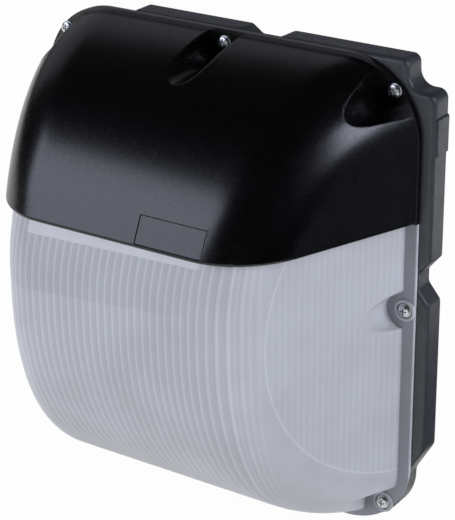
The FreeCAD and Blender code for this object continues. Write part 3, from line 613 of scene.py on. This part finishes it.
# A painted highlight along the flange's outer edge.
RIM_HIGHLIGHT = (141.2, 141.8)

lens_plastic, bsdf, place = new_finish("polycarbonate_frosted", Roughness=0.42, IOR=1.585)
bsdf.inputs["Transmission Weight"].default_value = 0.3


def zone(finish, value, *edges):
    """One inside a zone and nought outside, with smooth edges. Each edge is its nought and its one, in mm."""
    inside = 1.0
    for nought, one in edges:
        ease = add_node(finish, "ShaderNodeMapRange", {
            "Value": value, "From Min": nought * MM, "From Max": one * MM}, interpolation_type="SMOOTHSTEP")
        both = add_node(finish, "ShaderNodeMath", {0: ease.outputs["Result"], 1: inside}, operation="MULTIPLY")
        inside = both.outputs[0]
    return inside


def layered(finish, base, *layers):
    """A base with layers laid on it, each an amount and the zones or lines that it is multiplied by."""
    for amount, *masks in layers:
        for mask in masks[1:]:
            amount = add_node(finish, "ShaderNodeMath", {0: mask, 1: amount}, operation="MULTIPLY").outputs[0]
        base = add_node(finish, "ShaderNodeMath", {0: masks[0], 1: amount, 2: base},
                        operation="MULTIPLY_ADD").outputs[0]
    return base


def ribs(finish, along, pitch_mm, crest_mm, sharpness):
    """Lines of light at a pitch, narrow where they are bright, with a crest at crest_mm."""
    per_mm = 2 * math.pi / pitch_mm
    for operation, by, plus in (("MULTIPLY_ADD", per_mm / MM, -per_mm * crest_mm), ("COSINE", 0.0, 0.0),
                                ("MULTIPLY_ADD", 0.5, 0.5), ("POWER", sharpness, 0.0)):
        along = add_node(finish, "ShaderNodeMath", {0: along, 1: by, 2: plus}, operation=operation).outputs[0]
    return along


def how_far(finish, a, b, centre_mm):
    """The distance from a centre in the plane of two axes."""
    flat = add_node(finish, "ShaderNodeCombineXYZ", {0: a, 1: b}).outputs[0]
    centre = (centre_mm[0] * MM, centre_mm[1] * MM, 0.0)
    return add_node(finish, "ShaderNodeVectorMath", {0: flat, 1: centre}, operation="DISTANCE").outputs["Value"]


def eased_edges(finish, radius_mm, share=1.0):
    """A normal that turns softly over the moulded radius of an edge, where share is one."""
    soft = add_node(finish, "ShaderNodeBevel", {"Radius": radius_mm * MM}, samples=6).outputs["Normal"]
    plain = add_node(finish, "ShaderNodeNewGeometry").outputs["Normal"]
    return add_node(finish, "ShaderNodeMix", {0: share, 4: plain, 5: soft}, data_type="VECTOR").outputs[1]


apart = add_node(lens_plastic, "ShaderNodeSeparateXYZ", {"Vector": place})
across, depth, height = (apart.outputs[axis] for axis in "XYZ")
aside = add_node(lens_plastic, "ShaderNodeMath", {0: across}, operation="ABSOLUTE").outputs[0]
arc_r = how_far(lens_plastic, depth, height, ARC_CENTRE)
on_bowl = zone(lens_plastic, depth, BOWL_START)
off_pocket = zone(lens_plastic, how_far(lens_plastic, aside, height, SIDE_POCKET), POCKET_END)
# The smooth band under the hood: no flutes, and painted lighter as a painted highlight.
smooth_lit_height = layered(lens_plastic, height, (SMOOTH_LIT_SLOPE, across))
smooth_lit_band = layered(lens_plastic, 0.0, (1.0, zone(lens_plastic, smooth_lit_height, SMOOTH_LIT_TOP),
                                        zone(lens_plastic, across, *SMOOTH_LIT_ENDS)))
# The sloping line above which painted shade darkens the lens.
shade_line_height = layered(lens_plastic, height, (SHADE_LINE_SLOPE, across))
# The flutes' light is painted into the colour: a pale painted highlight at each crest and a darker line of painted
# shade at each hollow.
flute_light_and_shade = layered(lens_plastic, 0.0, (1.0, ribs(lens_plastic, across, FLUTE_PITCH, FLUTE_CREST, 3.4)),
                 (-0.3, ribs(lens_plastic, across, FLUTE_PITCH, FLUTE_HOLLOW, 3.0)))
total = layered(
    lens_plastic, 0.0,
    (0.52, on_bowl),
    # Painted highlights and painted shade of the flutes, left out on the smooth band.
    (0.34, flute_light_and_shade, zone(lens_plastic, aside, FRONT_END), layered(lens_plastic, 1.0, (-1.0, smooth_lit_band)), on_bowl),
    # The smooth band under the hood painted lighter: a painted highlight.
    (0.48, smooth_lit_band),
    # Painted shade above the sloping line, where the gear is behind the lens.
    (-0.1, zone(lens_plastic, shade_line_height, SHADE_LINE_FOOT), zone(lens_plastic, across, SHADE_LINE_END)),
    # Painted highlights: the prism lines of the sides.
    (0.09, ribs(lens_plastic, depth, PRISM_PITCH, PRISM_CREST, 1.5), zone(lens_plastic, aside, SIDE_START),
     zone(lens_plastic, arc_r, INSIDE_ARC), on_bowl, off_pocket),
    # Painted highlights: the fine lines of the corners.
    (0.13, ribs(lens_plastic, across, FINE_PITCH, FINE_CREST, 1.5), zone(lens_plastic, aside, *CORNER_ZONE)),
    # The painted highlight along the arc.
    (0.24, zone(lens_plastic, arc_r, *ARC_HIGHLIGHT), zone(lens_plastic, aside, ARC_START), on_bowl),
    # The painted highlight on the flange's outer edge.
    (0.8, zone(lens_plastic, aside, RIM_HIGHLIGHT)))
tone = add_node(lens_plastic, "ShaderNodeValToRGB", {"Fac": total})
tone.color_ramp.elements[0].color = linear("#a3a6ac")
tone.color_ramp.elements[1].color = linear("#f3f4f6")
cloud = mottle(lens_plastic, place, 45.0, 2.0, "#f6f5f3", "#ffffff")
tinted = add_node(lens_plastic, "ShaderNodeMix", {0: 1.0, 6: tone.outputs["Color"], 7: cloud},
                  data_type="RGBA", blend_type="MULTIPLY")
join_to(lens_plastic, bsdf, Base_Color=tinted.outputs[2])
raised = layered(lens_plastic, total, (1.0, mottle(lens_plastic, place, 0.8, 2.0, 0.0, 0.2)))
skin = add_node(lens_plastic, "ShaderNodeBump", {"Height": raised, "Distance": 0.12 * MM, "Strength": 0.5,
                                                 "Normal": eased_edges(lens_plastic, 2.0)})
join_to(lens_plastic, bsdf, Normal=skin.outputs["Normal"])
dress(lens_piece, lens_plastic, "lens_clear", "cover", "lens")

# ---------------------------------------------------------------------------
# Hood: the black visor over the upper half of the lens, moulded in ABS with its
# own flange, pockets and rolled lower lip, and held by the three upper screws.
# A small plate of the same plastic closes the window in its front.
# ---------------------------------------------------------------------------
HOOD_FRONT = 3.5
HOOD_SIDE = 7.7
HOOD_CORNER_R = 50.6
HOOD_WALL = 2.6
HOOD_INNER_R = 47.0
HOOD_FACE = 21.1
LIP_R = 2.4
LIP_STEPS = 6
WALL_LIMIT = 0.9
WINDOW = (17.3, 64.7, 61.4, 77.2)
WINDOW_GAP = 0.45
WINDOW_LEFT_GAP = 0.9
POCKET_FOOT = (82, 90)
POCKET_BACK = (-24, -28)

hood_piece = bowl_skin("hood_shell", HOOD_FRONT, HOOD_SIDE, HOOD_CORNER_R, front_cols=12, corner_cols=18)
hood_piece = combine(hood_piece, pocket_cutter("hood_pockets", HOOD_FRONT), "DIFFERENCE")
trim(hood_piece, (0, -LENS_FACE, 0), (0, 1, 0))
trim(hood_piece, (0, 0, HOOD_EDGE_Z), (0, 0, -1))


def roll_lip(piece, edge_z, radius, steps):
    """Rounds the outer edge at the foot of a shell: slices it near the edge and draws each slice in. Faces
    that look up, down or back, beyond WALL_LIMIT, are left out when the way in is found."""
    choose(piece)
    bpy.ops.object.mode_set(mode="EDIT")
    for step in range(1, steps + 1):
        rise = radius * (1 - math.cos(math.pi / 2 * step / steps))
        bpy.ops.mesh.select_all(action="SELECT")
        bpy.ops.mesh.bisect(plane_co=(0, 0, (edge_z + rise) * MM), plane_no=(0, 0, 1))
    mesh = bmesh.from_edit_mesh(piece.data)
    inward = {}
    for vertex in mesh.verts:
        drop = radius - (vertex.co.z / MM - edge_z)
        walls = [f.normal for f in vertex.link_faces if abs(f.normal.z) < WALL_LIMIT and f.normal.y < WALL_LIMIT]
        if drop > SAME and walls:
            out = sum(walls, Vector())
            out.z = 0.0
            draw = radius - math.sqrt(max(0.0, radius ** 2 - drop ** 2))
            inward[vertex] = out.normalized() * -draw * MM
    for vertex, move in inward.items():
        vertex.co += move
    bmesh.update_edit_mesh(piece.data)
    bpy.ops.object.mode_set(mode="OBJECT")


roll_lip(hood_piece, HOOD_EDGE_Z, LIP_R, LIP_STEPS)
upper_flange = flange_plate("hood_flange", LENS_BACK, HOOD_FACE)
upper_flange = combine(upper_flange, flange_plate("skirt_space", 0.0, LENS_FACE, SKIRT_T), "DIFFERENCE")
trim(upper_flange, (0, 0, HOOD_EDGE_Z), (0, 0, -1))
hood_piece = combine(hood_piece, upper_flange, "UNION")
hood_hollow = bowl_skin("hood_hollow", HOOD_FRONT - HOOD_WALL, HOOD_SIDE - HOOD_WALL, HOOD_INNER_R,
                        front_cols=12, corner_cols=18)
hood_hollow = combine(hood_hollow, pocket_cutter("hood_hollow_pockets", HOOD_FRONT - HOOD_WALL), "DIFFERENCE")
hood_piece = combine(hood_piece, hood_hollow, "DIFFERENCE")
upper_places = [p for p in POCKETS if p[1] > HOOD_EDGE_Z]
hood_piece = combine(hood_piece, screw_bars("hood_holes", upper_places, SCREW_HOLE_R, *HOLE_REACH), "DIFFERENCE")
plate_piece = hood_piece.copy()
plate_piece.data = hood_piece.data.copy()
plate_piece.name = "blank"
bpy.context.scene.collection.objects.link(plate_piece)
x0, x1, z0, z1 = WINDOW
opening = block_between("window_cut", (x0 - WINDOW_LEFT_GAP, -FAR, z0 - WINDOW_GAP),
                        (x1 + WINDOW_GAP, -HOOD_FACE, z1 + WINDOW_GAP))
hood_piece = combine(hood_piece, opening, "DIFFERENCE")
plate_piece = combine(plate_piece, block_between("blank_keep", (x0, -FAR, z0), (x1, -HOOD_FACE, z1)), "INTERSECT")
for piece in (hood_piece, plate_piece):
    even_shading(piece, SMOOTH_ANGLE)

# ABS from a spark-eroded tool: a deep black with half a gloss, whose grain breaks up the
# edge of a highlight. It is drawn at 1.1 mm, coarser than a real one, so that it shows.
hood_plastic, bsdf, place = new_finish("abs_black_fine_grain", Roughness=0.25, IOR=1.54)
join_to(hood_plastic, bsdf, Base_Color=mottle(hood_plastic, place, 14.0, 2.0, "#020203", "#040405"))
join_to(hood_plastic, bsdf, Roughness=mottle(hood_plastic, place, 1.6, 2.0, 0.225, 0.275))
apart = add_node(hood_plastic, "ShaderNodeSeparateXYZ", {"Vector": place})
at_pockets = layered(hood_plastic, 0.0, (1.0, zone(hood_plastic, apart.outputs["Z"], POCKET_FOOT),
                                         zone(hood_plastic, apart.outputs["Y"], POCKET_BACK)))
mounds = mottle(hood_plastic, place, 1.1, 2.0, 0.0, 1.0)
skin = add_node(hood_plastic, "ShaderNodeBump", {"Height": mounds, "Distance": 0.018 * MM, "Strength": 0.6,
                                                 "Normal": eased_edges(hood_plastic, 2.2, at_pockets)})
join_to(hood_plastic, bsdf, Normal=skin.outputs["Normal"])
dress(hood_piece, hood_plastic, "hood_black", "cover", "hood")
dress(plate_piece, hood_plastic, "hood_black", "cover", "blanking_plate")

# ---------------------------------------------------------------------------
# Cover screws: seven pan heads with a cross recess on plain washers, in
# bright stainless steel.
# ---------------------------------------------------------------------------
# Turned stainless steel: a bright, faintly warm grey metal with sharp glints.
stainless, bsdf, place = new_finish("stainless_steel_turned", Metallic=1.0, Roughness=0.22)
join_to(stainless, bsdf, Base_Color=mottle(stainless, place, 0.9, 2.0, "#b4b6b8", "#d4d6d8"))
join_to(stainless, bsdf, Roughness=mottle(stainless, place, 0.5, 3.0, 0.18, 0.32))
smoothed("cover_screws", "pan_head_screws", stainless, "screw_steel", rounding=0.3)
smoothed("screw_washers", "plain_washers", stainless, "washer_steel", rounding=0.15)

# ---------------------------------------------------------------------------
# The studio: a plain pale floor, soft boxes all round the fitting, two cards that
# only reflections see, and a camera with a long lens above and to the right.
# ---------------------------------------------------------------------------
FLOOR_Z = -164.5
FLOOR_WHITE = 0.97
deselect()
bpy.ops.mesh.primitive_plane_add(size=12.0, location=(0, 0, FLOOR_Z * MM))
floor = bpy.context.active_object
floor.name = "studio_floor"
bpy.ops.object.transform_apply(location=True, rotation=True, scale=True)
# Seamless paper: matt white, with the faintest unevenness. Camera, mirrors and glass see
# its own white with a little of the lit surface, which leaves a faint shadow, and other
# rays see the lit surface only.
floor_white, bsdf, place = new_finish("seamless_paper_white", Roughness=0.9)
join_to(floor_white, bsdf, Base_Color=mottle(floor_white, place, 300.0, 2.0, "#f2f2f2", "#f6f6f6"))
path = add_node(floor_white, "ShaderNodeLightPath")
seen = add_node(floor_white, "ShaderNodeMath", {0: path.outputs["Is Camera Ray"], 1: path.outputs["Is Glossy Ray"]},
                operation="MAXIMUM")
seen = add_node(floor_white, "ShaderNodeMath", {0: seen.outputs[0], 1: path.outputs["Is Transmission Ray"]},
                operation="MAXIMUM")
share = add_node(floor_white, "ShaderNodeMath", {0: seen.outputs[0], 1: FLOOR_WHITE}, operation="MULTIPLY")
glow = add_node(floor_white, "ShaderNodeEmission", {"Color": linear("#ffffff"), "Strength": 1.0})
blend = add_node(floor_white, "ShaderNodeMixShader", {0: share.outputs[0], 1: bsdf.outputs[0], 2: glow.outputs[0]})
output = [n for n in floor_white.node_tree.nodes if n.type == "OUTPUT_MATERIAL"][0]
floor_white.node_tree.links.new(blend.outputs[0], output.inputs["Surface"])
floor.data.materials.append(floor_white)

# Soft boxes: name, bearing from straight out of the wall and height in degrees, distance,
# width and height in metres, watts, colour, and whether they are seen in reflections.
AIM = Vector((0, -80, 0)) * MM
SOFT_BOXES = (("front_left", -37, 25, 1.5, 1.15, 0.75, 8.8, "#e4eaff", True),
              ("right_above", 97, 32, 1.45, 0.5, 0.6, 7.2, "#e4eaff", True),
              ("back_left", -135, 28, 1.6, 2.0, 1.0, 1.7, "#f0f2ff", True),
              ("front_fill", -15, 10, 1.6, 1.2, 0.8, 9.0, "#f6f8ff", False),
              ("left_fill", -100, 5, 1.5, 0.9, 0.8, 7.0, "#f6f8ff", False),
              ("rear_fill", 175, 25, 1.6, 0.9, 0.8, 6.0, "#f6f8ff", False),
              ("right_fill", 85, 5, 1.5, 0.9, 0.8, 11.4, "#f6f8ff", False))
for name, bearing, height, distance, width, tall, watts, colour, mirrored in SOFT_BOXES:
    lamp = bpy.data.lights.new(name, "AREA")
    lamp.shape = "RECTANGLE"
    lamp.size = width
    lamp.size_y = tall
    lamp.energy = watts
    lamp.color = linear(colour)[:3]
    holder = bpy.data.objects.new(name, lamp)
    bearing, height = math.radians(bearing), math.radians(height)
    way = Vector((math.sin(bearing) * math.cos(height), -math.cos(bearing) * math.cos(height), math.sin(height)))
    holder.location = AIM + way * distance
    holder.rotation_mode = "QUATERNION"
    holder.rotation_quaternion = (-way).to_track_quat("-Z", "Y")
    holder.visible_glossy = mirrored
    bpy.context.scene.collection.objects.link(holder)

# Flags: a black and a grey card, flat and dull, that only reflections see. They give the
# hood's flat side and the housing's foot something dark to mirror. Corners are in mm.
flag = joined("studio_flag", [block_between("upright_card", (459, -850, -160), (461, -70, 140)),
                              block_between("floor_card", (165, -60, -164), (900, 310, -163))])
grey_card = block_between("studio_grey_card", (459, -70, -160), (461, 250, 140))
for card, name, dark, light in ((flag, "flocked_card_black", "#020202", "#050505"),
                                (grey_card, "matt_card_grey", "#6c6c72", "#76767c")):
    card_finish, bsdf, place = new_finish(name, Roughness=1.0)
    join_to(card_finish, bsdf, Base_Color=mottle(card_finish, place, 3.0, 2.0, dark, light))
    card.data.materials.append(card_finish)
    card.visible_camera = False
    card.visible_diffuse = False
    card.visible_shadow = False
    card.visible_transmission = False

# The world is white to the camera and through glass. Reflections get little of it,
# because the black hood would mirror it all over and turn grey.
WORLD_IN_GLOSS = 0.005
WORLD_LIGHT = 0.015
world = bpy.data.worlds.new("studio")
bpy.context.scene.world = world
world.use_nodes = True
backdrop = world.node_tree.nodes["Background"]
backdrop.inputs["Color"].default_value = linear("#ffffff")
path = add_node(world, "ShaderNodeLightPath")
straight = add_node(world, "ShaderNodeMath", {0: path.outputs["Is Camera Ray"], 1: path.outputs["Is Transmission Ray"]},
                    operation="MAXIMUM")
mirrored = add_node(world, "ShaderNodeMath", {0: path.outputs["Is Glossy Ray"], 1: WORLD_IN_GLOSS},
                    operation="MULTIPLY")
shown = add_node(world, "ShaderNodeMath", {0: straight.outputs[0], 1: mirrored.outputs[0]}, operation="MAXIMUM")
strength = add_node(world, "ShaderNodeMath", {0: shown.outputs[0], 1: WORLD_LIGHT}, operation="ADD")
world.node_tree.links.new(strength.outputs[0], backdrop.inputs["Strength"])

# Camera: fitted to the photograph, so its numbers are measured and not round.
IMAGE_HEIGHT = 520
SENSOR = 36.0
FOCAL_PX = 1912.304
SHIFT_PX = -7.545
eye = Vector((653.698, -988.223, 505.844)) * MM
right = Vector((0.83094498, 0.55631243, -0.00684963))
up = Vector((-0.21310984, 0.32963929, 0.91974025))
ahead = Vector((-0.51392085, 0.76279382, -0.39246777))
camera = bpy.data.objects.new("camera", bpy.data.cameras.new("camera"))
camera.data.sensor_width = SENSOR
camera.data.lens = FOCAL_PX * SENSOR / IMAGE_HEIGHT
camera.data.shift_y = SHIFT_PX / IMAGE_HEIGHT
camera.data.clip_start = 0.05
camera.data.clip_end = 50.0
basis = Matrix((right, up, -ahead)).transposed()
camera.matrix_world = Matrix.Translation(eye) @ basis.to_4x4()
bpy.context.scene.collection.objects.link(camera)
bpy.context.scene.camera = camera
bpy.context.scene.view_settings.view_transform = "Standard"
